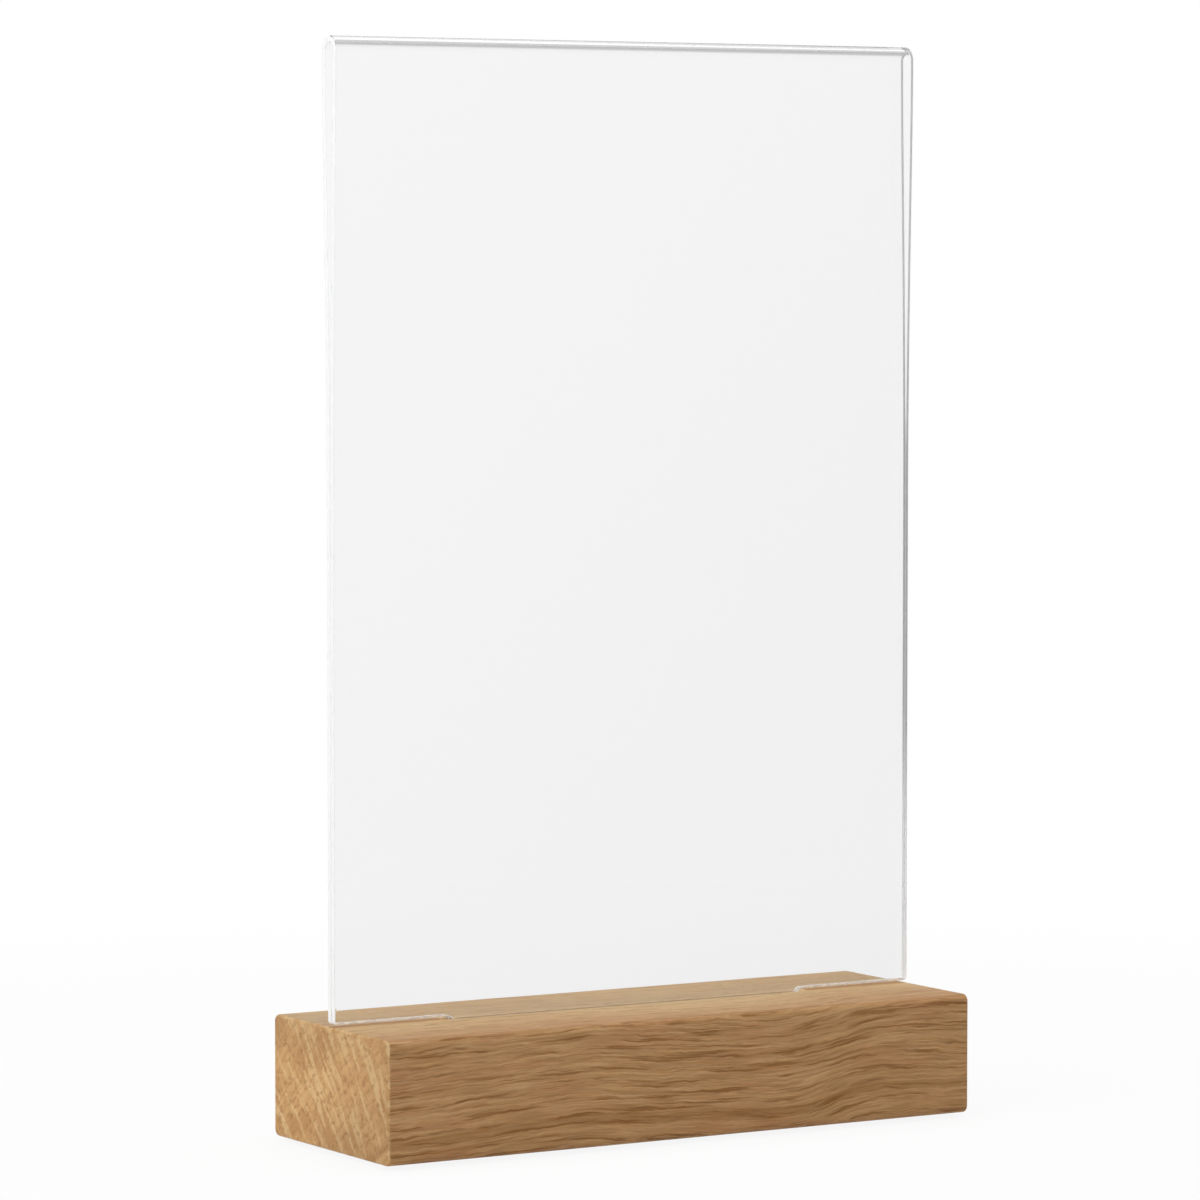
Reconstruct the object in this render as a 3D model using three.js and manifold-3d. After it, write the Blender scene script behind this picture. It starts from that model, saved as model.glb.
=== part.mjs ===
// Tabletop sign holder: a solid oak block with a routed slot, standing on four rubber feet, and a clear
// acrylic sleeve, folded over from one sheet, whose tab drops into the slot.
// Millimetres, +Z up. The front faces -Y, and the origin is on the table under the middle of the block.
import * as THREE from "three";
import { mergeVertices, toCreasedNormals } from "three/addons/utils/BufferGeometryUtils.js";
import Module from "manifold-3d";

// Paper that the sleeve displays: one upright A5 sheet
const PAPER_WIDTH = 148;
const PAPER_HEIGHT = 210;
const PAPER_SIDE_MARGIN = 0.75;
const PAPER_HEADROOM = 2;

// Sleeve: an acrylic sheet folded in two, closed at the top and open at both sides and below
const PLY = 1.5;
const PAPER_GAP = 0.2;
const FOLD_GAP = 3.2;
const SPREAD_LENGTH = 100;
const SPREAD_EASE_AT_FOLD = 20;
const SPREAD_EASE_BELOW = 45;
const POLISHED_EDGE = 0.5;
const SHOULDER_WIDTH = 30;
const SHOULDER_CORNER_RADIUS = 1;
const SHOULDER_CORNER_TURN = THREE.MathUtils.degToRad(80);
const TAB_DEPTH = 12;
const TAB_ROOT_FILLET = 2;
const TAB_CORNER_RADIUS = 2;

// Block
const BLOCK_END_MARGIN = 0.25;
const BLOCK_DEPTH = 52;
const BLOCK_HEIGHT = 27;
const BLOCK_LONG_EDGE_RADIUS = 1.2;
const BLOCK_END_EDGE_RADIUS = 0.5;
const SLOT_MOUTH_CHAMFER = 0.2;

// Feet
const FOOT_DIAMETER = 10;
const FOOT_THICKNESS = 1;
const FOOT_RIM_RADIUS = 0.4;
const FOOT_INSET = 12;

// Clearances between the sleeve and the block
const SHOULDER_CLEARANCE = 0.5;
const TAB_END_CLEARANCE = 0.3;
const SLOT_SIDE_CLEARANCE = 0.25;
const SLOT_END_CLEARANCE = 0.5;

// Facets
const CURVE_SEGMENTS = 12;
const CORNER_SEGMENTS = 6;
const EDGE_SEGMENTS = 4;
const POLISH_SEGMENTS = 3;
const FOOT_SEGMENTS = 32;
const FOOT_RIM_SEGMENTS = 2;
const CREASE_ANGLE = THREE.MathUtils.degToRad(35);

// How far a cutting shape runs past what it cuts, and past a face that it leaves whole
const CUT_MARGIN = 2;
const CUT_SKIN = 0.02;

// Sizes that follow from the ones above
const sleeveWidth = PAPER_WIDTH + 2 * PAPER_SIDE_MARGIN;
const sleeveThickness = PAPER_GAP + 2 * PLY;
const tabWidth = sleeveWidth - 2 * SHOULDER_WIDTH;
const blockLength = sleeveWidth + 2 * BLOCK_END_MARGIN;
const blockTop = FOOT_THICKNESS + BLOCK_HEIGHT;
const shoulderLevel = blockTop + SHOULDER_CLEARANCE;
const tabEndLevel = shoulderLevel - TAB_DEPTH;
const sleeveTop = shoulderLevel + PAPER_HEIGHT + PAPER_HEADROOM + PLY;
const foldLevel = sleeveTop - PLY - FOLD_GAP / 2;
const spreadLevel = foldLevel - SPREAD_LENGTH;
const slotFloorLevel = tabEndLevel - TAB_END_CLEARANCE;
const slotWidth = sleeveThickness + 2 * SLOT_SIDE_CLEARANCE;
const slotLength = tabWidth + 2 * (TAB_ROOT_FILLET + SLOT_END_CLEARANCE);

const wasm = await Module();
wasm.setup();

// A closed three.js geometry as a solid that can be cut.
function solidFrom(geometry) {
  const bare = geometry.clone();
  bare.deleteAttribute("normal");
  bare.deleteAttribute("uv");
  const merged = mergeVertices(bare);
  const mesh = new wasm.Mesh({
    numProp: 3,
    vertProperties: new Float32Array(merged.attributes.position.array),
    triVerts: new Uint32Array(merged.index.array),
  });
  mesh.merge();
  return new wasm.Manifold(mesh);
}

// A cut solid as a three.js geometry, smooth over its curves and sharp at its edges.
function geometryFrom(solid) {
  const mesh = solid.getMesh();
  const geometry = new THREE.BufferGeometry();
  geometry.setAttribute("position", new THREE.BufferAttribute(mesh.vertProperties, 3));
  geometry.setIndex(new THREE.BufferAttribute(mesh.triVerts, 1));
  return toCreasedNormals(geometry, CREASE_ANGLE);
}

// A section in Y and Z drawn out along X, with the rims of its two ends rounded over.
function drawnOut(section, length, rimRadius, rimSegments) {
  const bar = new THREE.ExtrudeGeometry(section, {
    depth: length - 2 * rimRadius,
    bevelSize: rimRadius,
    bevelThickness: rimRadius,
    bevelOffset: -rimRadius,
    bevelSegments: rimSegments,
    curveSegments: CURVE_SEGMENTS,
  });
  bar.translate(0, 0, rimRadius - length / 2);
  bar.rotateX(Math.PI / 2);
  bar.rotateZ(Math.PI / 2);
  return bar;
}

// A slot outline with full-round ends, centred on the origin and lying along X.
function roundEndedOutline(length, width) {
  const radius = width / 2;
  const reach = length / 2 - radius;
  const outline = new THREE.Shape();
  outline.moveTo(-reach, -radius);
  outline.lineTo(reach, -radius);
  outline.absarc(reach, 0, radius, -Math.PI / 2, Math.PI / 2, false);
  outline.lineTo(-reach, radius);
  outline.absarc(-reach, 0, radius, Math.PI / 2, Math.PI * 1.5, false);
  return outline;
}

// The slot as a cutter, with a flare at the top that takes the sharp edge off its mouth.
function slotCutter() {
  const outline = roundEndedOutline(slotLength, slotWidth);
  const shaft = new THREE.ExtrudeGeometry(outline, {
    depth: blockTop + CUT_MARGIN - slotFloorLevel,
    bevelEnabled: false,
    curveSegments: CURVE_SEGMENTS,
  });
  shaft.translate(0, 0, slotFloorLevel);
  const flare = new THREE.ExtrudeGeometry(outline, {
    depth: CUT_MARGIN,
    bevelSize: SLOT_MOUTH_CHAMFER,
    bevelThickness: SLOT_MOUTH_CHAMFER,
    bevelSegments: 1,
    curveSegments: CURVE_SEGMENTS,
  });
  flare.translate(0, 0, blockTop);
  return solidFrom(shaft).add(solidFrom(flare));
}

// The block seen from its end, in Y and Z.
function blockSection() {
  const radius = BLOCK_LONG_EDGE_RADIUS;
  const reach = BLOCK_DEPTH / 2 - radius;
  const low = FOOT_THICKNESS + radius;
  const high = blockTop - radius;
  const quarter = Math.PI / 2;
  const section = new THREE.Shape();
  section.absarc(reach, low, radius, -quarter, 0, false);
  section.absarc(reach, high, radius, 0, quarter, false);
  section.absarc(-reach, high, radius, quarter, Math.PI, false);
  section.absarc(-reach, low, radius, Math.PI, Math.PI + quarter, false);
  return section;
}

// The oak block: a strip with rounded long edges, cut to length, its ends eased, and the slot routed in
// its top.
function makeBlock() {
  const strip = drawnOut(blockSection(), blockLength, BLOCK_END_EDGE_RADIUS, EDGE_SEGMENTS);
  return geometryFrom(solidFrom(strip).subtract(slotCutter()));
}

// The sleeve seen from its open side, in Y and Z: two plies that lie almost together below, ease apart
// over the top stretch and join in a round fold.
function sleeveSection() {
  const lowEnd = tabEndLevel - CUT_MARGIN;
  const section = new THREE.Shape();

  // How far from the middle plane one face of a ply lies, below its spread and at the fold.
  const below = (face) => PAPER_GAP / 2 + face;
  const atFold = (face) => FOLD_GAP / 2 + face;
  const lowEase = spreadLevel + SPREAD_EASE_BELOW;
  const highEase = foldLevel - SPREAD_EASE_AT_FOLD;
  const rise = (side, face) => {
    const low = side * below(face);
    const high = side * atFold(face);
    section.lineTo(low, spreadLevel);
    section.bezierCurveTo(low, lowEase, high, highEase, high, foldLevel);
  };
  const fall = (side, face) => {
    const low = side * below(face);
    const high = side * atFold(face);
    section.bezierCurveTo(high, highEase, low, lowEase, low, spreadLevel);
    section.lineTo(low, lowEnd);
  };

  section.moveTo(-below(PLY), lowEnd);
  rise(-1, PLY);
  section.absarc(0, foldLevel, atFold(PLY), Math.PI, 0, true);
  fall(1, PLY);
  section.lineTo(below(0), lowEnd);
  rise(1, 0);
  section.absarc(0, foldLevel, atFold(0), 0, Math.PI, false);
  fall(-1, 0);
  return section;
}

// The sleeve's lower part seen from the front, in X and Z, up to a given level: round-cornered shoulders
// that pass over the block, and between them the tab, with a fillet at its root and round lower corners.
// It runs past the sleeve's sides.
function sleeveOutline(top) {
  const side = sleeveWidth / 2 + CUT_MARGIN;
  const tab = tabWidth / 2;
  const shoulderCentre = sleeveWidth / 2 - SHOULDER_CORNER_RADIUS;
  const shoulderCornerLevel = shoulderLevel + SHOULDER_CORNER_RADIUS;
  const sideLevel = shoulderCornerLevel + CUT_MARGIN;
  const rootLevel = shoulderLevel - TAB_ROOT_FILLET;
  const rootCentre = tab + TAB_ROOT_FILLET;
  const cornerCentre = tab - TAB_CORNER_RADIUS;
  const cornerLevel = tabEndLevel + TAB_CORNER_RADIUS;
  const quarter = Math.PI / 2;
  const down = Math.PI + quarter;
  const outline = new THREE.Shape();

  const shoulderCorner = (centre, from, to) => {
    outline.absarc(centre, shoulderCornerLevel, SHOULDER_CORNER_RADIUS, from, to, false);
  };

  outline.moveTo(-side, top);
  outline.lineTo(-side, sideLevel);
  shoulderCorner(-shoulderCentre, down - SHOULDER_CORNER_TURN, down);
  outline.absarc(-rootCentre, rootLevel, TAB_ROOT_FILLET, quarter, 0, true);
  outline.absarc(-cornerCentre, cornerLevel, TAB_CORNER_RADIUS, Math.PI, down, false);
  outline.absarc(cornerCentre, cornerLevel, TAB_CORNER_RADIUS, down, down + quarter, false);
  outline.absarc(rootCentre, rootLevel, TAB_ROOT_FILLET, Math.PI, quarter, true);
  shoulderCorner(shoulderCentre, down, down + SHOULDER_CORNER_TURN);
  outline.lineTo(side, sideLevel);
  outline.lineTo(side, top);
  return outline;
}

// The shape that one flat ply is cut to: its outline as a plate with polished edges.
function plyCut(side, top) {
  const thickness = PLY + 2 * CUT_SKIN;
  const depth = thickness - 2 * POLISHED_EDGE;
  const plate = new THREE.ExtrudeGeometry(sleeveOutline(top), {
    depth,
    bevelSize: POLISHED_EDGE,
    bevelThickness: POLISHED_EDGE,
    bevelOffset: -POLISHED_EDGE,
    bevelSegments: POLISH_SEGMENTS,
    curveSegments: CORNER_SEGMENTS,
  });
  plate.translate(0, 0, -depth / 2);
  plate.rotateX(Math.PI / 2);
  plate.translate(0, (side * (PAPER_GAP + PLY)) / 2, 0);
  return solidFrom(plate);
}

// The folded sheet: its section drawn out to full width with polished side edges, then each ply cut to
// outline below a level where both are still flat, with all above that level kept.
function makeSleeve() {
  const sheet = drawnOut(sleeveSection(), sleeveWidth, POLISHED_EDGE, POLISH_SEGMENTS);
  const keptFrom = (shoulderLevel + spreadLevel) / 2;
  const keptTo = sleeveTop + CUT_MARGIN;
  const keptWidth = sleeveWidth + 2 * CUT_MARGIN;
  const keptDepth = FOLD_GAP + 2 * PLY + 2 * CUT_MARGIN;
  const kept = new THREE.BoxGeometry(keptWidth, keptDepth, keptTo - keptFrom);
  kept.translate(0, 0, (keptFrom + keptTo) / 2);
  const plyTop = keptFrom + CUT_MARGIN;
  const cut = solidFrom(kept).add(plyCut(-1, plyTop)).add(plyCut(1, plyTop));
  return geometryFrom(solidFrom(sheet).intersect(cut));
}

// A flat round foot, its lower rim rounded, stuck to the underside of the block.
function makeFoot() {
  const radius = FOOT_DIAMETER / 2;
  const rim = new THREE.Path();
  rim.moveTo(0, 0);
  rim.lineTo(radius - FOOT_RIM_RADIUS, 0);
  rim.absarc(radius - FOOT_RIM_RADIUS, FOOT_RIM_RADIUS, FOOT_RIM_RADIUS, -Math.PI / 2, 0, false);
  rim.lineTo(radius, FOOT_THICKNESS);
  rim.lineTo(0, FOOT_THICKNESS);
  const foot = new THREE.LatheGeometry(rim.getPoints(FOOT_RIM_SEGMENTS), FOOT_SEGMENTS);
  foot.rotateX(Math.PI / 2);
  return geometryFrom(solidFrom(foot));
}

const oak = new THREE.MeshStandardMaterial({ color: 0xa87f52, roughness: 0.6, metalness: 0 });
const acrylic = new THREE.MeshStandardMaterial({
  color: 0xf2f4f4,
  roughness: 0.05,
  metalness: 0,
  transparent: true,
  opacity: 0.25,
});
const rubber = new THREE.MeshStandardMaterial({ color: 0x2b2927, roughness: 0.8, metalness: 0 });

function named(name, geometry, material) {
  const mesh = new THREE.Mesh(geometry, material);
  mesh.name = name;
  return mesh;
}

const signHolder = new THREE.Group();
signHolder.add(named("oak_base", makeBlock(), oak));
signHolder.add(named("acrylic_sleeve", makeSleeve(), acrylic));

const footGeometry = makeFoot();
const footX = blockLength / 2 - FOOT_INSET;
const footY = BLOCK_DEPTH / 2 - FOOT_INSET;
for (const [across, x] of [["left", -footX], ["right", footX]]) {
  for (const [along, y] of [["front", -footY], ["back", footY]]) {
    const foot = named(`foot_${along}_${across}`, footGeometry, rubber);
    foot.position.set(x, y, 0);
    signHolder.add(foot);
  }
}

export default signHolder;
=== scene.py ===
import math
from collections import namedtuple

import bmesh
import bpy
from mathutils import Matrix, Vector


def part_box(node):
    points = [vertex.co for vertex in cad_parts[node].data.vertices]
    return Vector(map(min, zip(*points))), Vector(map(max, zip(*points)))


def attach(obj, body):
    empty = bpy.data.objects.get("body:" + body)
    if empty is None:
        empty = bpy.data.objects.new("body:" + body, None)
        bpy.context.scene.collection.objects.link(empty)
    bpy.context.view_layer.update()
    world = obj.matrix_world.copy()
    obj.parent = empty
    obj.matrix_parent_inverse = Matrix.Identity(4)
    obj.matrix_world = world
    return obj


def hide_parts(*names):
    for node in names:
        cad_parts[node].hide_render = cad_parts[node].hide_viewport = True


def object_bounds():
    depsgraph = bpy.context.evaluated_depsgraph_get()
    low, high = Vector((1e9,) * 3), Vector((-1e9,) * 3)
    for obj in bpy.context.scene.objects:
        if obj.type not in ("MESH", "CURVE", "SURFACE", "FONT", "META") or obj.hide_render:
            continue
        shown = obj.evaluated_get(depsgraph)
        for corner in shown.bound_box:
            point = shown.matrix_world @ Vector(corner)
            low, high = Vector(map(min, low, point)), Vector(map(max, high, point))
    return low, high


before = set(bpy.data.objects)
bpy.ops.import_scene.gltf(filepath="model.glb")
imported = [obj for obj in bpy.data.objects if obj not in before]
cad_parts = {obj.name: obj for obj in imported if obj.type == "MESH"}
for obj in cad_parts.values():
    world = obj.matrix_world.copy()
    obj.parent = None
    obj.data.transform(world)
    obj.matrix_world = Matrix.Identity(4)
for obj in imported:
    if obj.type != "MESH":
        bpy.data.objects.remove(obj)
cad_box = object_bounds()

MM = 0.001
WHITE = (1.0, 1.0, 1.0, 1.0)

# Camera, as fitted to the photograph: a square picture, no shift, aimed at a point above the block.
PICTURE_SIDE = 1200
SENSOR_WIDTH = 36.0
FOCAL_LENGTH_PX = 5748
CAMERA_YAW = math.radians(31.06)
CAMERA_PITCH = math.radians(3.59)
CAMERA_DISTANCE = 1278 * MM
AIM_ALONG_PICTURE = -5.75 * MM
AIM_HEIGHT = 118.35 * MM

# Light, as multiples of the light that shows a colour as it is written.
AMBIENT = 0.24
KEY_LIGHT = 0.57
TOP_LIGHT = 0.80
KEY_PLACE = Vector((-1.00, -0.20, 0.55))
TOP_PLACE = Vector((0.15, 0.05, 1.50))
KEY_SIZE = 0.90
TOP_SIZE = 1.50

# Studio in reflections and through the clear sheet: a pale backdrop behind the object, a dimmer room in
# front that is brighter upwards and to the left, and a dim ceiling.
BACKDROP = 0.95
BACKDROP_FROM = -0.3
BACKDROP_TO = 0.3
STUDIO_DIM = 0.25
STUDIO_BRIGHT = 0.95
STUDIO_RISE = 2.0
STUDIO_LEFT = 2.6
STUDIO_LEVEL = 1.79
STUDIO_DIM_AT = -0.4
STUDIO_BRIGHT_AT = 1.2
CEILING = 0.52
CEILING_FROM = 0.24
CEILING_TO = 0.52

# A ray whose depth is below this has not bounced.
NO_BOUNCE = 0.5

# Floor.
FLOOR_HALF = 3.0
FLOOR_COLOUR = (0.85, 0.85, 0.85, 1.0)
FLOOR_WHITENING = 0.90
FLOOR_WHITE_FROM = 0.12
FLOOR_WHITE_TO = 0.50

# Mesh copies of the CAD nodes.
MERGE_DISTANCE = 0.001 * MM
SHARP_ANGLE = math.radians(38)
FLAT_ANGLE = math.radians(0.5)
BLOCK_LOW, BLOCK_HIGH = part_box("oak_base")
LONG_EDGE = 1.6 * MM
END_EDGE = 0.7 * MM
END_EDGE_STEPS = 5
SHEET_EDGE = 0.5 * MM
SHOULDER_LEVEL = 28.5 * MM
SIDE_EDGE_FACING = 0.3
SIDE_EDGE_MATERIAL = 1
CUT_EDGE_FACING = -0.05
CUT_EDGE_MATERIAL = 2

# A noise: its size in three directions, its detail, the two levels between which it fades in where it is
# used as patches, and its roughness.
Pattern = namedtuple("Pattern", "size detail low high roughness", defaults=(0.0, 1.0, 0.5))

# Oak, in millimetres: how it is sawn from the log, and where its tone changes, by distance from the pith or
# by height. On the top, distance from the pith also places a painted sheen and a painted shadow. Early wood
# comes and goes over shares of a ring.
PITH_DISTANCE = 130.0
PITH_SLOPE = math.radians(53)
RING_WIDTH = 2.4
RING_UNEVENNESS = 2.6
EARLY_RISE = (0.0, 0.12)
EARLY_FALL = (0.15, 0.70)
DARK_RING_RADIUS = 106.3
DARK_RING_CORE = 0.3
DARK_RING_HALF = 1.5
# The ends darken towards their front lower corner, near the pith, between these distances.
NEAR_PITH_FROM = 114.0
NEAR_PITH_TO = 130.0
END_DARK_FROM = 17.0
END_DARK_TO = 25.0
# Where the top turns from darker at the front to a painted sheen, paler and yellower.
TOP_SHEEN_FROM = 125.0
TOP_SHEEN_TO = 138.0
# A painted shadow on the top beside the slot: where it starts, where it is darkest and where it fades out.
TOP_SHADOW_FROM = 137.5
TOP_SHADOW_RADIUS = 140.5
TOP_SHADOW_END = 157.0

# Slot and sheet in the block, in millimetres, and the distances past them over which the bare wood and
# painted light on the slot's walls and the painted shadow under the sheet's shoulders fade.
SHEET_HALF = 1.6
SLOT_HALF_WIDTH = 1.85
SLOT_HALF_LENGTH = 47.25
SLOT_FLOOR = 16.2
SHOULDER_SHADOW_FADE = (-0.3, 0.1)
SLOT_WIDTH_FADE = (0.1, 0.3)
SLOT_LENGTH_FADE = (0.1, 0.6)
SLOT_FLOOR_FADE = (-1.0, -0.5)

# Waves of the grain with their heights, and its sweeps along the block: start, end and rise.
RIPPLE = Pattern((9.0, 7.0, 6.0), 2.0)
WANDER = Pattern((40.0, 20.0, 20.0), 1.0)
WIGGLE = Pattern((2.4, 2.0, 1.8), 1.0)
GRAIN_WAVES = ((RIPPLE, 1.2), (WANDER, 3.6), (WIGGLE, 0.5))
GRAIN_SWEEPS = ((-75.0, -27.0, 1.9), (-27.0, 24.0, -3.0), (24.0, 52.0, 3.6), (52.0, 75.0, -0.7))

# Figure of the oak. Sizes are along the grain, out from the pith and around it.
UNEVEN_RINGS = Pattern((60.0, 4.0, 40.0), 2.0)
VESSELS = Pattern((5.0, 0.30, 0.30), 1.0, 0.55, 0.70)
FIBRE = Pattern((10.0, 0.22, 0.22), 2.0, 0.25, 0.75)
DASHES = Pattern((12.0, 0.54, 1.0), 3.0, 0.46, 0.64)
LINES = Pattern((24.0, 0.80, 1.6), 2.0, 0.42, 0.60)
PALE_LINES = Pattern((9.0, 0.5, 0.7), 2.0, 0.50, 0.68)
FLECKS = Pattern((1.6, 0.55, 0.8), 2.0, 0.35, 0.70)
RAYS = Pattern((16.0, 14.0, 1.60), 1.0, 0.46, 0.64)
SPECKLE = Pattern((8.0, 1.10, 1.30), 2.0, 0.48, 0.72, 0.6)

# Tone of the oak. Sizes are along the block, across it and up.
RED_TONE = Pattern((26.0, 9.0, 6.0), 2.0, 0.45, 0.70)
END_TONE = Pattern((20.0, 8.0, 8.0), 2.0, 0.42, 0.66)
RAY_BEND = Pattern((9.0, 6.0, 6.0), 2.0)
RAY_BEND_WIDTH = 3.0
# Paler round end edges: worn wood and a painted highlight.
WEAR_AND_HIGHLIGHT = Pattern((2.0, 2.0, 2.0), 2.0, 0.40, 0.65)

# Colours of the oak. OAK_END is a tint for its ends.
OAK_LATE = (0.590, 0.338, 0.142, 1.0)
OAK_EARLY = (0.435, 0.216, 0.071, 1.0)
OAK_STREAK = (0.260, 0.098, 0.010, 1.0)
OAK_PORE = (0.170, 0.075, 0.025, 1.0)
OAK_RED = (0.490, 0.228, 0.092, 1.0)
OAK_PALE = (0.660, 0.400, 0.190, 1.0)
OAK_RAY = (0.720, 0.500, 0.265, 1.0)
# A painted sheen on the top, and a painted shadow on the top beside the slot.
OAK_TOP_SHEEN = (0.630, 0.437, 0.207, 1.0)
OAK_TOP_SHADOW = (0.390, 0.265, 0.140, 1.0)
# Bare wood of the slot's walls, made paler still by painted light against the shade in the slot.
OAK_BARE_AND_LIT = (0.870, 0.640, 0.410, 1.0)
OAK_END = (1.03, 1.02, 0.92)

# How much of a colour is mixed in. A pair is for the sides and the top, or for the two ends of a change.
EARLY_SHARE = 0.40
LINE_SHARE = (0.40, 0.75)
FLECK_SHARE = 0.22
RED_SHARE = (0.55, 0.15)
TOP_DARK_SHARE = 0.62
# How much of the painted sheen and the painted shadow goes on the top.
TOP_SHEEN_SHARE = 0.80
TOP_SHADOW_SHARE = (0.74, 0.20)
PALE_LINE_SHARE = 0.50
DASH_SHARE = (0.82, 0.45)
DASH_IN_EARLY = (0.35, 0.95)
PORE_SHARE = 0.40
PORE_IN_EARLY = (0.30, 1.0)
END_EARLY_SHARE = 0.35
END_TONE_SHARE = 0.65
RAY_SHARE = 0.62
SPECKLE_SHARE = 0.52
END_PORE_SHARE = 0.15
# Worn wood and a painted highlight on the round end edges.
WEAR_AND_HIGHLIGHT_SHARE = (0.05, 0.45)
DARK_RING_SHARE = 0.38
# Painted light on the slot's walls, over their bare wood, and a painted shadow under the sheet's shoulders.
BARE_AND_LIT_SHARE = 0.95
SHOULDER_SHADOW_SHARE = 0.66

# Limits of a change: in early wood, and in how far the surface faces an end or the top.
EARLY_FOR_DASHES = (0.0, 0.8)
EARLY_FOR_PORES = (0.1, 0.8)
END_FACING = (0.2, 0.5)
ROUND_EDGE_FACING = (0.15, 0.45)
FLAT_END_FACING = (0.80, 0.98)
TOP_FACING = (0.70, 0.98)

# Shade of the oak, as factors of its colour: in darker parts of the ends, and in its fibre, as pairs for the
# long faces and the ends.
NEAR_PITH_SHADE = 0.84
END_DARK_SHADE = 0.89
FIBRE_DIM = (0.86, 0.94)
FIBRE_BRIGHT = (1.10, 1.05)

# Finish of the oak.
FIBRE_GLOSS_LIMITS = (0.2, 0.8)
OAK_ROUGHNESS = (0.46, 0.60)
PORE_ROUGHNESS = 0.15
OAK_GLOSS = 0.4
FIBRE_RELIEF = 0.4
OAK_BUMP = 0.35
OAK_BUMP_DEPTH = 0.12 * MM

# Clear acrylic: its faces, its side edges with the heights between which, seen from the inside, they turn
# from painted light to painted shade and then paler again by painted light, and its lower cut edge, with a
# painted reflection of the wood.
ACRYLIC_IOR = 1.49
ACRYLIC_COLOUR = (0.998, 0.998, 0.998, 1.0)
HAZE = Pattern((30 * MM, 30 * MM, 30 * MM), 3.0, 0.3, 0.7)
HAZE_ROUGHNESS = (0.0, 0.02)
SIDE_SAWING = Pattern((0.4 * MM, 0.4 * MM, 3 * MM), 2.0, 0.3, 0.7)
SIDE_EDGE_COLOURS = ((0.86, 0.86, 0.86, 1.0), (0.96, 0.96, 0.96, 1.0))
SIDE_EDGE_ROUGHNESS = (0.25, 0.45)
# Seen from the inside: painted light low down turning to painted shade, then painted light near the top.
EDGE_SHADE_FROM = 55 * MM
EDGE_SHADE_TO = 95 * MM
EDGE_LIGHT_AND_SHADE = (1.08, 0.56)
EDGE_PAINTED_LIGHT_FROM = 145 * MM
EDGE_PAINTED_LIGHT_TO = 190 * MM
EDGE_PAINTED_LIGHT = 0.18
CUT_SAWING = Pattern((3 * MM, 0.4 * MM, 0.4 * MM), 2.0, 0.3, 0.7)
# The cut edge's colours hold a painted warm reflection of the wood below.
CUT_EDGE_AND_WOOD_REFLECTION = ((0.94, 0.88, 0.80, 1.0), (1.00, 0.95, 0.88, 1.0))
CUT_EDGE_ROUGHNESS = (0.15, 0.35)
CUT_EDGE_CLEARNESS = 0.45

# Rubber.
RUBBER_GRAIN = Pattern((0.5 * MM, 0.5 * MM, 0.5 * MM), 3.0, 0.3, 0.7)
RUBBER_COLOURS = ((0.018, 0.018, 0.019, 1.0), (0.045, 0.045, 0.046, 1.0))
RUBBER_ROUGHNESS = (0.65, 0.85)
RUBBER_BUMP = 0.3
RUBBER_BUMP_DEPTH = 0.05 * MM


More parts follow.
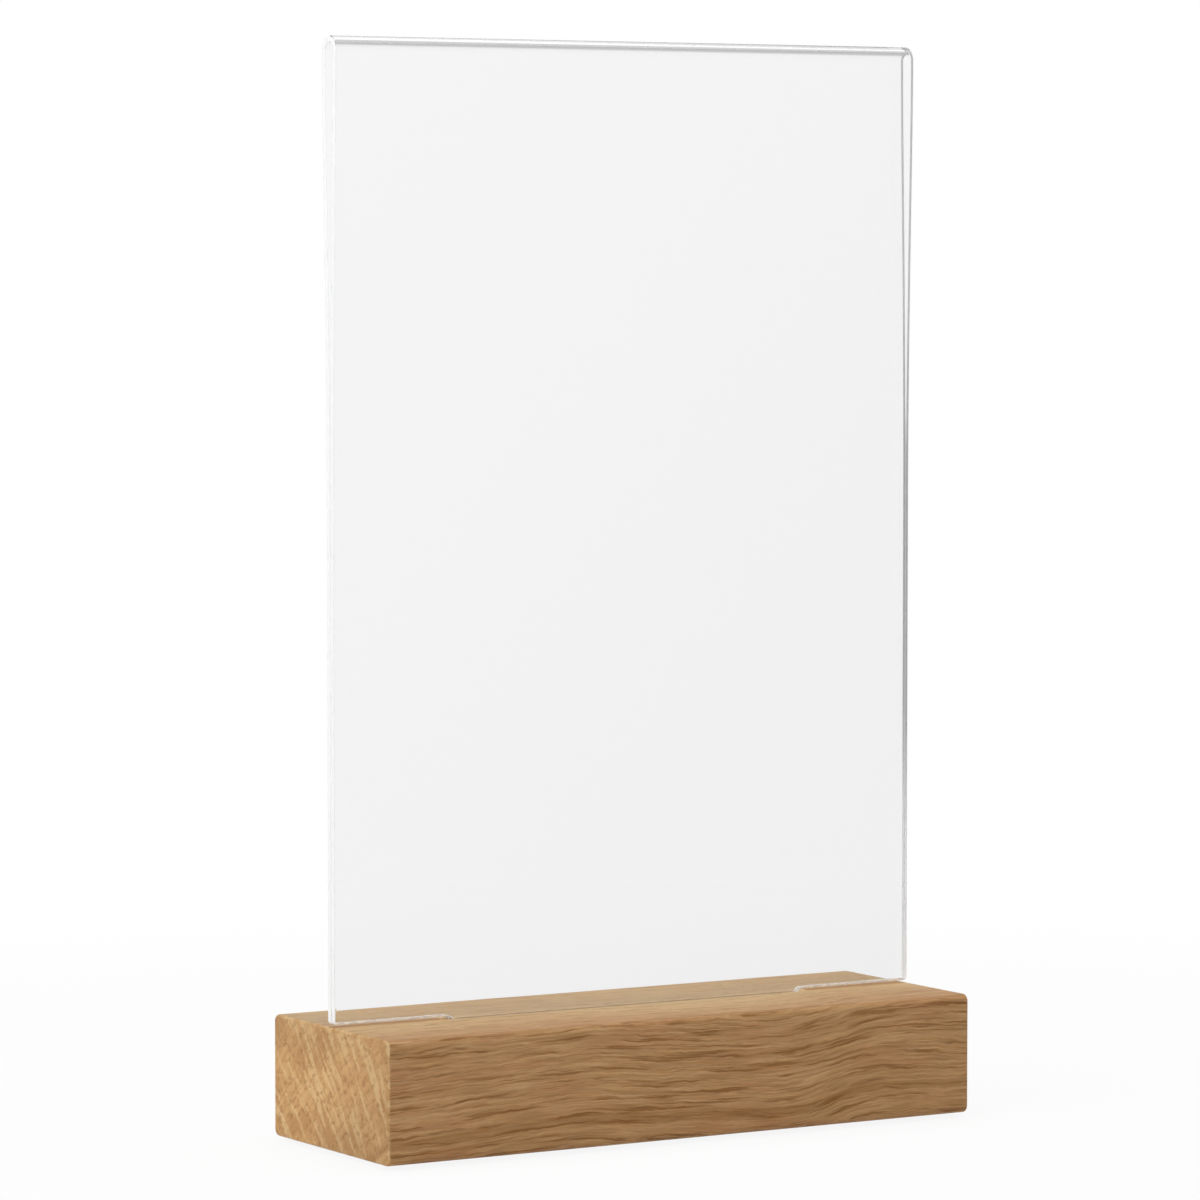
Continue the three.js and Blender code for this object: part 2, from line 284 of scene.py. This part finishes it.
class Graph:
    """Short calls for building one node tree."""

    MIX_COLOUR_A = 6
    MIX_COLOUR_B = 7
    MIX_COLOUR_RESULT = 2

    def __init__(self, tree):
        self.tree = tree
        tree.nodes.clear()

    def feed(self, socket, value):
        """Link a socket to another node's output, or set it to a constant."""
        if isinstance(value, bpy.types.NodeSocket):
            self.tree.links.new(value, socket)
        else:
            socket.default_value = value

    def node(self, kind, inputs=None, **settings):
        """A new node with these settings and inputs."""
        made = self.tree.nodes.new(kind)
        for name, value in settings.items():
            setattr(made, name, value)
        for key, value in (inputs or {}).items():
            self.feed(made.inputs[key], value)
        return made

    def math(self, operation, *values):
        """The result of one operation on numbers."""
        return self.node("ShaderNodeMath", dict(enumerate(values)), operation=operation).outputs[0]

    def times(self, *values):
        """The product of two or more values."""
        product = values[0]
        for value in values[1:]:
            product = self.math("MULTIPLY", product, value)
        return product

    def place(self):
        """The place in the object's own space, in metres."""
        return self.node("ShaderNodeTexCoord").outputs["Object"]

    def parts(self, vector):
        """The three coordinates of a vector."""
        return self.node("ShaderNodeSeparateXYZ", {0: vector}).outputs

    def combine(self, x, y, z):
        """The vector with these three coordinates."""
        return self.node("ShaderNodeCombineXYZ", {0: x, 1: y, 2: z}).outputs[0]

    def scaled(self, vector, x, y, z):
        """The vector with each coordinate divided by a length."""
        lengths = (1 / x, 1 / y, 1 / z)
        return self.node("ShaderNodeVectorMath", {0: vector, 1: lengths}, operation="MULTIPLY").outputs[0]

    def shaded(self, colour, shade):
        """The colour multiplied by a shade."""
        inputs = {0: colour, "Scale": shade}
        return self.node("ShaderNodeVectorMath", inputs, operation="SCALE").outputs[0]

    def noise(self, vector, pattern):
        """Soft noise from 0 to 1, with the pattern's size."""
        inputs = {
            "Vector": self.scaled(vector, *pattern.size),
            "Scale": 1.0,
            "Detail": pattern.detail,
            "Roughness": pattern.roughness,
        }
        return self.node("ShaderNodeTexNoise", inputs).outputs["Fac"]

    def step(self, value, low, high, to_low=0.0, to_high=1.0):
        """A smooth step from to_low to to_high as the value goes from low to high."""
        inputs = {0: value, 1: low, 2: high, 3: to_low, 4: to_high}
        return self.node("ShaderNodeMapRange", inputs, interpolation_type="SMOOTHSTEP").outputs[0]

    def patches(self, vector, pattern, to_low=0.0, to_high=1.0):
        """A noise that goes from to_low to to_high between its pattern's two levels."""
        return self.step(self.noise(vector, pattern), pattern.low, pattern.high, to_low, to_high)

    def mix(self, factor, a, b):
        """A colour from a to b as the factor goes from 0 to 1."""
        inputs = {0: factor, self.MIX_COLOUR_A: a, self.MIX_COLOUR_B: b}
        return self.node("ShaderNodeMix", inputs, data_type="RGBA").outputs[self.MIX_COLOUR_RESULT]

    def bump(self, height, strength, depth):
        """A normal that follows a height."""
        inputs = {"Height": height, "Strength": strength, "Distance": depth}
        return self.node("ShaderNodeBump", inputs).outputs[0]

    def shader(self, kind, inputs=None):
        """The output of a new shader node."""
        return self.node(kind, inputs).outputs[0]

    def mixed_shader(self, factor, a, b):
        """A shader from a to b as the factor goes from 0 to 1."""
        return self.shader("ShaderNodeMixShader", {0: factor, 1: a, 2: b})


def material_graph(name):
    """A new material and its empty node tree."""
    material = bpy.data.materials.new(name)
    material.use_nodes = True
    return material, Graph(material.node_tree)


def surface(graph, shader):
    """Make a shader the material's surface."""
    graph.node("ShaderNodeOutputMaterial", {"Surface": shader})


def principled(graph, inputs):
    """Make the material's surface one principled shader."""
    surface(graph, graph.shader("ShaderNodeBsdfPrincipled", inputs))


def make_camera():
    """The photograph's camera."""
    across = Vector((math.cos(CAMERA_YAW), -math.sin(CAMERA_YAW), 0.0))
    level = Vector((math.sin(CAMERA_YAW), math.cos(CAMERA_YAW), 0.0))
    forward = level * math.cos(CAMERA_PITCH) - Vector((0.0, 0.0, math.sin(CAMERA_PITCH)))
    aim = across * AIM_ALONG_PICTURE + Vector((0.0, 0.0, AIM_HEIGHT))
    data = bpy.data.cameras.new("camera")
    data.sensor_width = SENSOR_WIDTH
    data.lens = SENSOR_WIDTH * FOCAL_LENGTH_PX / PICTURE_SIDE
    camera = bpy.data.objects.new("camera", data)
    camera.location = aim - forward * CAMERA_DISTANCE
    camera.rotation_mode = "QUATERNION"
    camera.rotation_quaternion = forward.to_track_quat("-Z", "Y")
    bpy.context.scene.collection.objects.link(camera)
    bpy.context.scene.camera = camera


def ray_kinds(graph):
    """Three factors: 1 for a camera ray, for one that shows the room in clear or glossy surfaces, and for
    one that has come straight through the clear sheet."""
    path = graph.node("ShaderNodeLightPath").outputs
    direct = graph.math("LESS_THAN", path["Diffuse Depth"], NO_BOUNCE)
    clear = graph.math("MAXIMUM", path["Is Transmission Ray"], path["Is Glossy Ray"])
    unmirrored = graph.math("LESS_THAN", path["Glossy Depth"], NO_BOUNCE)
    room = graph.times(clear, direct)
    through = graph.times(path["Is Transmission Ray"], direct, unmirrored)
    return path["Is Camera Ray"], room, through


def make_world():
    """White behind the object, even soft light on it, and a studio in its reflections."""
    world = bpy.data.worlds.new("studio")
    bpy.context.scene.world = world
    world.use_nodes = True
    graph = Graph(world.node_tree)
    camera, room, through = ray_kinds(graph)
    x, y, z = graph.parts(graph.node("ShaderNodeTexCoord").outputs["Generated"])
    slope = graph.math("ADD", graph.times(z, STUDIO_RISE), graph.times(x, -STUDIO_LEFT))
    level = graph.math("ADD", slope, STUDIO_LEVEL)
    front = graph.step(level, STUDIO_DIM_AT, STUDIO_BRIGHT_AT, STUDIO_DIM, STUDIO_BRIGHT)
    behind = graph.math("MAXIMUM", through, graph.step(y, BACKDROP_FROM, BACKDROP_TO))
    wall = graph.math("MAXIMUM", front, graph.times(behind, BACKDROP))
    shade = graph.times(wall, graph.step(z, CEILING_FROM, CEILING_TO, 1.0, CEILING))
    studio = graph.shader("ShaderNodeBackground", {"Color": shade, "Strength": 1.0})
    light = graph.shader("ShaderNodeBackground", {"Color": WHITE, "Strength": AMBIENT})
    backdrop = graph.shader("ShaderNodeBackground", {"Color": WHITE, "Strength": 1.0})
    lit = graph.mixed_shader(room, light, studio)
    graph.node("ShaderNodeOutputWorld", {"Surface": graph.mixed_shader(camera, lit, backdrop)})


def make_lamp(name, place, size, level):
    """A square soft lamp aimed at the object, with the power that gives its light level there. It shows in
    reflections, but not through the clear sheet."""
    aim = (cad_box[0] + cad_box[1]) / 2
    towards = aim - place
    data = bpy.data.lights.new(name, "AREA")
    data.shape = "SQUARE"
    data.size = size
    data.energy = level * math.pi ** 2 * towards.length_squared
    lamp = bpy.data.objects.new(name, data)
    lamp.location = place
    lamp.rotation_mode = "QUATERNION"
    lamp.rotation_quaternion = towards.to_track_quat("-Z", "Y")
    lamp.visible_transmission = False
    bpy.context.scene.collection.objects.link(lamp)


def make_floor():
    """A pale floor that looks white from the camera and keeps a soft shadow. Reflections show the studio
    instead of it."""
    corners = [(x * FLOOR_HALF, y * FLOOR_HALF, 0.0) for x, y in ((-1, -1), (1, -1), (1, 1), (-1, 1))]
    mesh = bpy.data.meshes.new("floor")
    mesh.from_pydata(corners, [], [(0, 1, 2, 3)])
    floor = bpy.data.objects.new("floor", mesh)
    bpy.context.scene.collection.objects.link(floor)
    material, graph = material_graph("floor")
    camera, room, through = ray_kinds(graph)
    mirrored = graph.math("SUBTRACT", room, through)
    away = graph.node("ShaderNodeVectorMath", {0: graph.place()}, operation="LENGTH").outputs["Value"]
    white = graph.step(away, FLOOR_WHITE_FROM, FLOOR_WHITE_TO, FLOOR_WHITENING, 1.0)
    share = graph.times(graph.math("MAXIMUM", camera, through), white)
    plain = graph.shader("ShaderNodeBsdfDiffuse", {"Color": FLOOR_COLOUR})
    strength = graph.step(through, 0.0, 1.0, 1.0, BACKDROP)
    glow = graph.shader("ShaderNodeEmission", {"Color": WHITE, "Strength": strength})
    shown = graph.mixed_shader(share, plain, glow)
    surface(graph, graph.mixed_shader(mirrored, shown, graph.shader("ShaderNodeBsdfTransparent")))
    mesh.materials.append(material)


def section_core(place):
    """The nearest point to a place in the block's cross-section that is a long edge's radius inside it."""
    y = min(max(place.y, BLOCK_LOW.y + LONG_EDGE), BLOCK_HIGH.y - LONG_EDGE)
    z = min(max(place.z, BLOCK_LOW.z + LONG_EDGE), BLOCK_HIGH.z - LONG_EDGE)
    return Vector((place.x, y, z))


def cut_across(shape, place, ahead, clear_ahead=False):
    """Cut the shape by a plane, and take away what lies ahead of it if asked to."""
    everything = shape.verts[:] + shape.edges[:] + shape.faces[:]
    bmesh.ops.bisect_plane(shape, geom=everything, plane_co=place, plane_no=ahead, clear_outer=clear_ahead)


def round_long_edges(shape):
    """Round the block's four long edges over to the full radius."""
    for y in (BLOCK_LOW.y + LONG_EDGE, BLOCK_HIGH.y - LONG_EDGE):
        cut_across(shape, (0.0, y, 0.0), (0.0, 1.0, 0.0))
    for z in (BLOCK_LOW.z + LONG_EDGE, BLOCK_HIGH.z - LONG_EDGE):
        cut_across(shape, (0.0, 0.0, z), (0.0, 0.0, 1.0))
    for corner in shape.verts:
        core = section_core(corner.co)
        out = corner.co - core
        if min(abs(out.y), abs(out.z)) > MERGE_DISTANCE:
            corner.co = core + out.normalized() * LONG_EDGE


def round_ends(shape):
    """Round the edges around the block's two ends."""
    for side, end in ((-1, BLOCK_LOW.x), (1, BLOCK_HIGH.x)):
        start = end - side * END_EDGE
        cut_across(shape, (start, 0.0, 0.0), (side, 0.0, 0.0), clear_ahead=True)
        rim = [edge for edge in shape.edges if edge.is_boundary]
        for step in range(1, END_EDGE_STEPS + 1):
            turn = math.pi / 2 * step / END_EDGE_STEPS
            made = bmesh.ops.extrude_edge_only(shape, edges=rim)["geom"]
            rim = [item for item in made if isinstance(item, bmesh.types.BMEdge) and item.is_boundary]
            reach = LONG_EDGE - END_EDGE * (1 - math.cos(turn))
            for corner in {corner for edge in rim for corner in edge.verts}:
                core = section_core(corner.co)
                corner.co = core + (corner.co - core).normalized() * reach
                corner.co.x = start + side * END_EDGE * math.sin(turn)
        bmesh.ops.edgeloop_fill(shape, edges=rim)
    bmesh.ops.recalc_face_normals(shape, faces=shape.faces)


def round_edges(shape):
    """Make the block's flat faces whole, and round all its edges."""
    bmesh.ops.dissolve_limit(shape, angle_limit=FLAT_ANGLE, verts=shape.verts, edges=shape.edges)
    round_long_edges(shape)
    round_ends(shape)


def refined(node_name, piece_name, body, reshape=None):
    """A welded, smooth-shaded copy of a CAD node, standing for it."""
    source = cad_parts[node_name].data
    mesh = bpy.data.meshes.new(piece_name)
    mesh.from_pydata([v.co for v in source.vertices], [], [tuple(p.vertices) for p in source.polygons])
    shape = bmesh.new()
    shape.from_mesh(mesh)
    bmesh.ops.remove_doubles(shape, verts=shape.verts, dist=MERGE_DISTANCE)
    if reshape:
        reshape(shape)
    for face in shape.faces:
        face.smooth = True
    for edge in shape.edges:
        edge.smooth = edge.calc_face_angle(0.0) < SHARP_ANGLE
    shape.to_mesh(mesh)
    shape.free()
    piece = bpy.data.objects.new(piece_name, mesh)
    bpy.context.scene.collection.objects.link(piece)
    normals = piece.modifiers.new("flat_faces_first", "WEIGHTED_NORMAL")
    normals.keep_sharp = True
    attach(piece, body)
    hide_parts(node_name)
    return piece


def grain_coordinates(graph):
    """Place in the wood, in millimetres: as it is, as along the grain, out from the pith and around it, and
    the distance from the pith alone."""
    place = graph.scaled(graph.place(), MM, MM, MM)
    x, y, z = graph.parts(place)
    lift = 0.0
    for wave, height in GRAIN_WAVES:
        lift = graph.math("MULTIPLY_ADD", graph.noise(place, wave), height, lift)
    for start, end, rise in GRAIN_SWEEPS:
        lift = graph.math("ADD", lift, graph.step(x, start, end, 0.0, rise))
    middle = (BLOCK_LOW + BLOCK_HIGH) / 2 / MM
    pith_y = middle.y - PITH_DISTANCE * math.cos(PITH_SLOPE)
    pith_z = middle.z - PITH_DISTANCE * math.sin(PITH_SLOPE)
    across = graph.math("SUBTRACT", y, pith_y)
    up = graph.math("SUBTRACT", graph.math("SUBTRACT", z, pith_z), lift)
    radius = graph.math("SQRT", graph.math("ADD", graph.times(across, across), graph.times(up, up)))
    arc = graph.times(graph.math("ARCTAN2", up, across), PITH_DISTANCE)
    return place, graph.combine(x, radius, arc), radius


def early_wood(graph, grain, radius):
    """How far a place lies in a ring's porous early wood, from 0 to 1."""
    uneven = graph.noise(grain, UNEVEN_RINGS)
    phase = graph.math("MULTIPLY_ADD", uneven, RING_UNEVENNESS, graph.math("DIVIDE", radius, RING_WIDTH))
    ring = graph.math("FRACT", phase)
    return graph.times(graph.step(ring, *EARLY_RISE), graph.step(ring, *EARLY_FALL, 1.0, 0.0))


def facing(graph):
    """Three factors: 1 on the block's two ends, on the round edges around them, which get wear and a painted
    highlight, and on what faces up.
    """
    normal = graph.parts(graph.node("ShaderNodeNewGeometry").outputs["Normal"])
    endwise = graph.math("ABSOLUTE", normal["X"])
    ends = graph.step(endwise, *END_FACING)
    turned = graph.step(endwise, *FLAT_END_FACING, 1.0, 0.0)
    edges = graph.times(graph.step(endwise, *ROUND_EDGE_FACING), turned)
    return ends, edges, graph.step(normal["Z"], *TOP_FACING)


def dark_ring(graph, radius):
    """1 in the middle of one darker ring, and 0 away from it."""
    off = graph.math("ABSOLUTE", graph.math("SUBTRACT", radius, DARK_RING_RADIUS))
    return graph.step(off, DARK_RING_CORE, DARK_RING_HALF, 1.0, 0.0)


def top_colour(graph, colour, radius, up):
    """A colour made darker on the front of the top, paler and yellower towards and behind the slot as a
    painted sheen, and darker beside the slot by a painted shadow that fades towards the back."""
    darker = graph.step(radius, TOP_SHEEN_FROM, TOP_SHEEN_TO, TOP_DARK_SHARE, 0.0)
    colour = graph.mix(graph.times(up, darker), colour, OAK_EARLY)
    # A painted sheen, paler and yellower, towards and behind the slot.
    paler = graph.step(radius, TOP_SHEEN_FROM, TOP_SHEEN_TO, 0.0, TOP_SHEEN_SHARE)
    colour = graph.mix(graph.times(up, paler), colour, OAK_TOP_SHEEN)
    # A painted shadow beside the slot, fading towards the back.
    shadow_fading = graph.step(radius, TOP_SHADOW_RADIUS, TOP_SHADOW_END, *TOP_SHADOW_SHARE)
    painted_shadow = graph.times(shadow_fading, graph.step(radius, TOP_SHADOW_FROM, TOP_SHADOW_RADIUS))
    return graph.mix(graph.times(up, painted_shadow), colour, OAK_TOP_SHADOW)


def long_colour(graph, place, grain, radius, early, pore, up):
    """The colour of the long faces: dark broken lines in the early wood, fine lines and pale ones between
    them, and a plainer top with a tone of its own, a painted sheen and a painted shadow."""
    colour = graph.mix(graph.times(early, EARLY_SHARE), OAK_LATE, OAK_EARLY)
    line = graph.times(graph.patches(grain, LINES), graph.step(up, 0.0, 1.0, *LINE_SHARE))
    colour = graph.mix(line, colour, OAK_EARLY)
    colour = graph.mix(graph.times(graph.patches(grain, FLECKS), FLECK_SHARE), colour, OAK_EARLY)
    red = graph.times(graph.patches(place, RED_TONE), graph.step(up, 0.0, 1.0, *RED_SHARE))
    colour = graph.mix(red, colour, OAK_RED)
    colour = top_colour(graph, colour, radius, up)
    colour = graph.mix(graph.times(graph.patches(grain, PALE_LINES), PALE_LINE_SHARE), colour, OAK_PALE)
    dash = graph.times(graph.patches(grain, DASHES), graph.step(early, *EARLY_FOR_DASHES, *DASH_IN_EARLY))
    colour = graph.mix(graph.times(dash, graph.step(up, 0.0, 1.0, *DASH_SHARE)), colour, OAK_STREAK)
    return graph.mix(graph.times(pore, PORE_SHARE), colour, OAK_PORE)


def end_colour(graph, place, grain, early, pore):
    """The colour of the ends: faint rings, a speckle of cut pores, pale rays across the rings, darker
    towards the front lower corner near the pith, and a darker upper part."""
    along, radius, around = graph.parts(grain)
    bent = graph.math("MULTIPLY_ADD", graph.noise(place, RAY_BEND), RAY_BEND_WIDTH, around)
    ray = graph.patches(graph.combine(along, radius, bent), RAYS)
    colour = graph.mix(graph.times(early, END_EARLY_SHARE), OAK_LATE, OAK_EARLY)
    colour = graph.mix(graph.patches(place, END_TONE, 0.0, END_TONE_SHARE), colour, OAK_EARLY)
    colour = graph.mix(graph.times(ray, RAY_SHARE), colour, OAK_RAY)
    colour = graph.mix(graph.patches(grain, SPECKLE, 0.0, SPECKLE_SHARE), colour, OAK_STREAK)
    colour = graph.mix(graph.times(pore, END_PORE_SHARE), colour, OAK_PORE)
    colour = graph.node("ShaderNodeVectorMath", {0: colour, 1: OAK_END}, operation="MULTIPLY").outputs[0]
    # Darker towards the front lower corner, near the pith.
    near_pith = graph.step(radius, NEAR_PITH_FROM, NEAR_PITH_TO, NEAR_PITH_SHADE, 1.0)
    level = graph.parts(place)["Z"]
    upper = graph.step(level, END_DARK_FROM, END_DARK_TO, 1.0, END_DARK_SHADE)
    return graph.shaded(colour, graph.times(near_pith, upper))


def reaching(fade, limit):
    """The two ends of a fade, which are distances past a limit."""
    return [limit + distance for distance in fade]


def bare_slot_and_shoulder_shadow(graph, place, up):
    """Two factors: 1 on the slot's walls, bare wood made paler by painted light, and 1 under the sheet's
    shoulders, where a painted shadow goes.
    """
    x, y, z = graph.parts(place)
    along = graph.math("ABSOLUTE", x)
    across = graph.math("ABSOLUTE", y)
    slot = graph.step(along, *reaching(SLOT_LENGTH_FADE, SLOT_HALF_LENGTH), 1.0, 0.0)
    inside = graph.step(across, *reaching(SLOT_WIDTH_FADE, SLOT_HALF_WIDTH), 1.0, 0.0)
    above = graph.step(z, *reaching(SLOT_FLOOR_FADE, SLOT_FLOOR))
    wall = graph.times(slot, inside, above, graph.math("SUBTRACT", 1.0, up))
    # A painted shadow under the sheet's shoulders.
    under = graph.step(across, *reaching(SHOULDER_SHADOW_FADE, SHEET_HALF), 1.0, 0.0)
    shoulder_shadow = graph.times(under, up, graph.math("SUBTRACT", 1.0, slot))
    return wall, shoulder_shadow


def oak_material():
    """Oak, sawn so that its rings slope across the block and its rays show on the ends."""
    material, graph = material_graph("oak")
    place, grain, radius = grain_coordinates(graph)
    early = early_wood(graph, grain, radius)
    pore = graph.times(graph.patches(grain, VESSELS), graph.step(early, *EARLY_FOR_PORES, *PORE_IN_EARLY))
    ends, edges, up = facing(graph)
    wall, shoulder_shadow = bare_slot_and_shoulder_shadow(graph, place, up)
    long_face = long_colour(graph, place, grain, radius, early, pore, up)
    end_face = end_colour(graph, place, grain, early, pore)
    colour = graph.mix(ends, long_face, end_face)
    # Worn wood and a painted highlight on the round end edges.
    colour = graph.mix(graph.times(edges, graph.patches(place, WEAR_AND_HIGHLIGHT, *WEAR_AND_HIGHLIGHT_SHARE)), colour, OAK_RAY)
    colour = graph.mix(graph.times(dark_ring(graph, radius), DARK_RING_SHARE), colour, OAK_STREAK)
    # The slot's walls: bare wood, made paler still by painted light.
    colour = graph.mix(graph.times(wall, BARE_AND_LIT_SHARE), colour, OAK_BARE_AND_LIT)
    # A painted shadow on the top under the sheet's shoulders.
    colour = graph.mix(graph.times(shoulder_shadow, SHOULDER_SHADOW_SHARE), colour, OAK_STREAK)
    fibre = graph.noise(grain, FIBRE)
    dim = graph.step(ends, 0.0, 1.0, *FIBRE_DIM)
    bright = graph.step(ends, 0.0, 1.0, *FIBRE_BRIGHT)
    shade = graph.step(fibre, FIBRE.low, FIBRE.high, dim, bright)
    rough = graph.step(fibre, *FIBRE_GLOSS_LIMITS, *OAK_ROUGHNESS)
    height = graph.math("SUBTRACT", graph.times(fibre, FIBRE_RELIEF), pore)
    principled(graph, {
        "Base Color": graph.shaded(colour, shade),
        "Roughness": graph.math("ADD", rough, graph.times(pore, PORE_ROUGHNESS)),
        "Normal": graph.bump(height, OAK_BUMP, OAK_BUMP_DEPTH),
        "Specular IOR Level": OAK_GLOSS,
    })
    return material


def acrylic_material():
    """Clear cast acrylic with a very slight unevenness."""
    material, graph = material_graph("clear_acrylic")
    principled(graph, {
        "Base Color": ACRYLIC_COLOUR,
        "Roughness": graph.patches(graph.place(), HAZE, *HAZE_ROUGHNESS),
        "IOR": ACRYLIC_IOR,
        "Transmission Weight": 1.0,
    })
    return material


def acrylic_edge_material():
    """The sheet's cut side edges, sawn and lightly polished: white from outside, and from the inside darker
    by painted shade, with painted light low down and near the top.
    """
    material, graph = material_graph("acrylic_edge")
    place = graph.place()
    height = graph.parts(place)["Z"]
    sawn = graph.noise(place, SIDE_SAWING)
    white = graph.mix(sawn, *SIDE_EDGE_COLOURS)
    # Seen from the inside: painted light low down turning to painted shade, and painted light near the top.
    light_and_shade = graph.step(height, EDGE_SHADE_FROM, EDGE_SHADE_TO, *EDGE_LIGHT_AND_SHADE)
    paler = graph.step(height, EDGE_PAINTED_LIGHT_FROM, EDGE_PAINTED_LIGHT_TO, 0.0, EDGE_PAINTED_LIGHT)
    within = graph.shaded(white, graph.math("ADD", light_and_shade, paler))
    behind = graph.node("ShaderNodeNewGeometry").outputs["Backfacing"]
    principled(graph, {
        "Base Color": graph.mix(behind, white, within),
        "Roughness": graph.step(sawn, SIDE_SAWING.low, SIDE_SAWING.high, *SIDE_EDGE_ROUGHNESS),
        "IOR": ACRYLIC_IOR,
    })
    return material


def acrylic_cut_material():
    """The sheet's lower cut edge, half clear and less polished than its faces, its colour warmed by a
    painted reflection of the wood below.
    """
    material, graph = material_graph("acrylic_cut")
    sawn = graph.noise(graph.place(), CUT_SAWING)
    principled(graph, {
        # A painted warm reflection of the wood below.
        "Base Color": graph.mix(sawn, *CUT_EDGE_AND_WOOD_REFLECTION),
        "Roughness": graph.step(sawn, CUT_SAWING.low, CUT_SAWING.high, *CUT_EDGE_ROUGHNESS),
        "IOR": ACRYLIC_IOR,
        "Transmission Weight": CUT_EDGE_CLEARNESS,
    })
    return material


def rubber_material():
    """Dark soft rubber with a fine grain."""
    material, graph = material_graph("rubber")
    speckle = graph.noise(graph.place(), RUBBER_GRAIN)
    principled(graph, {
        "Base Color": graph.mix(speckle, *RUBBER_COLOURS),
        "Roughness": graph.step(speckle, RUBBER_GRAIN.low, RUBBER_GRAIN.high, *RUBBER_ROUGHNESS),
        "Normal": graph.bump(speckle, RUBBER_BUMP, RUBBER_BUMP_DEPTH),
    })
    return material


def make_block():
    """The oak block, with its edges rounded further."""
    block = refined("oak_base", "oak_block", "base", round_edges)
    block.data.materials.append(oak_material())


def make_sleeve():
    """The folded sheet, with its cut edges in materials of their own. Lamp light passes through it."""
    sleeve = refined("acrylic_sleeve", "clear_sleeve", "sleeve")
    sleeve.data.materials.append(acrylic_material())
    sleeve.data.materials.append(acrylic_edge_material())
    sleeve.data.materials.append(acrylic_cut_material())
    sleeve.visible_shadow = False
    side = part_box("acrylic_sleeve")[1].x - SHEET_EDGE
    for face in sleeve.data.polygons:
        if abs(face.center.x) > side and abs(face.normal.x) > SIDE_EDGE_FACING:
            face.material_index = SIDE_EDGE_MATERIAL
        elif face.center.z < SHOULDER_LEVEL + SHEET_EDGE and face.normal.z < CUT_EDGE_FACING:
            face.material_index = CUT_EDGE_MATERIAL


def make_feet():
    """The rubber feet, which share one material."""
    rubber = rubber_material()
    for name in sorted(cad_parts):
        if name.startswith("foot_"):
            foot = refined(name, name.replace("foot", "rubber_foot"), "base")
            foot.data.materials.append(rubber)


bpy.context.scene.view_settings.view_transform = "Standard"
make_camera()
make_world()
make_lamp("key_lamp", KEY_PLACE, KEY_SIZE, KEY_LIGHT)
make_lamp("top_lamp", TOP_PLACE, TOP_SIZE, TOP_LIGHT)
make_floor()
make_block()
make_sleeve()
make_feet()
